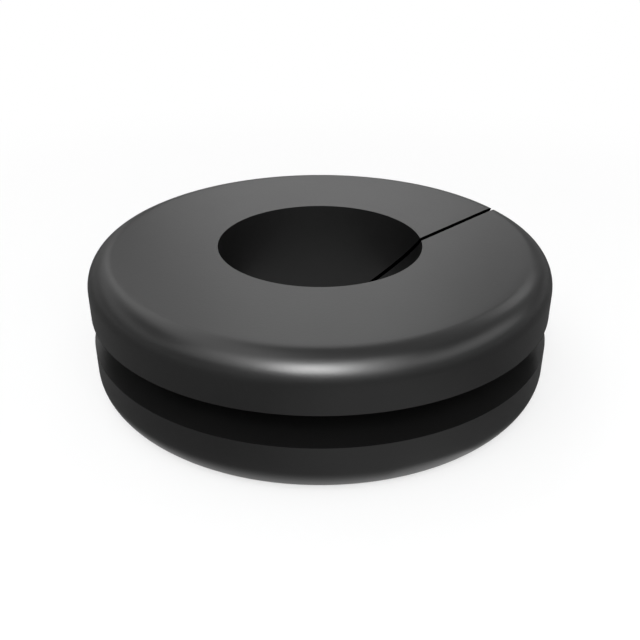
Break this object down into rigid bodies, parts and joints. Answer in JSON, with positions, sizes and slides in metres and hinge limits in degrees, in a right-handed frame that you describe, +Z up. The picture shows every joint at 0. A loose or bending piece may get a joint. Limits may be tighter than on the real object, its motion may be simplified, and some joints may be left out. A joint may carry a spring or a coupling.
{
  "type": "split rubber grommet",
  "caption": "Round black rubber grommet with rounded rims, a waist groove that grips a panel edge, a plain cable bore and a slanting slit through its wall, so a cable lies in from the side.",
  "frame": {"origin": "centre of the lower face, on the bore axis", "axes": "+Z up along the bore axis; the slit's level line at mid height runs from the axis along +X"},
  "size_m": [0.036, 0.036, 0.0105],
  "materials": {
    "rubber": "satin"
  },
  "bodies": {
    "root": {"grommet": "rubber"}
  },
  "joints": []
}
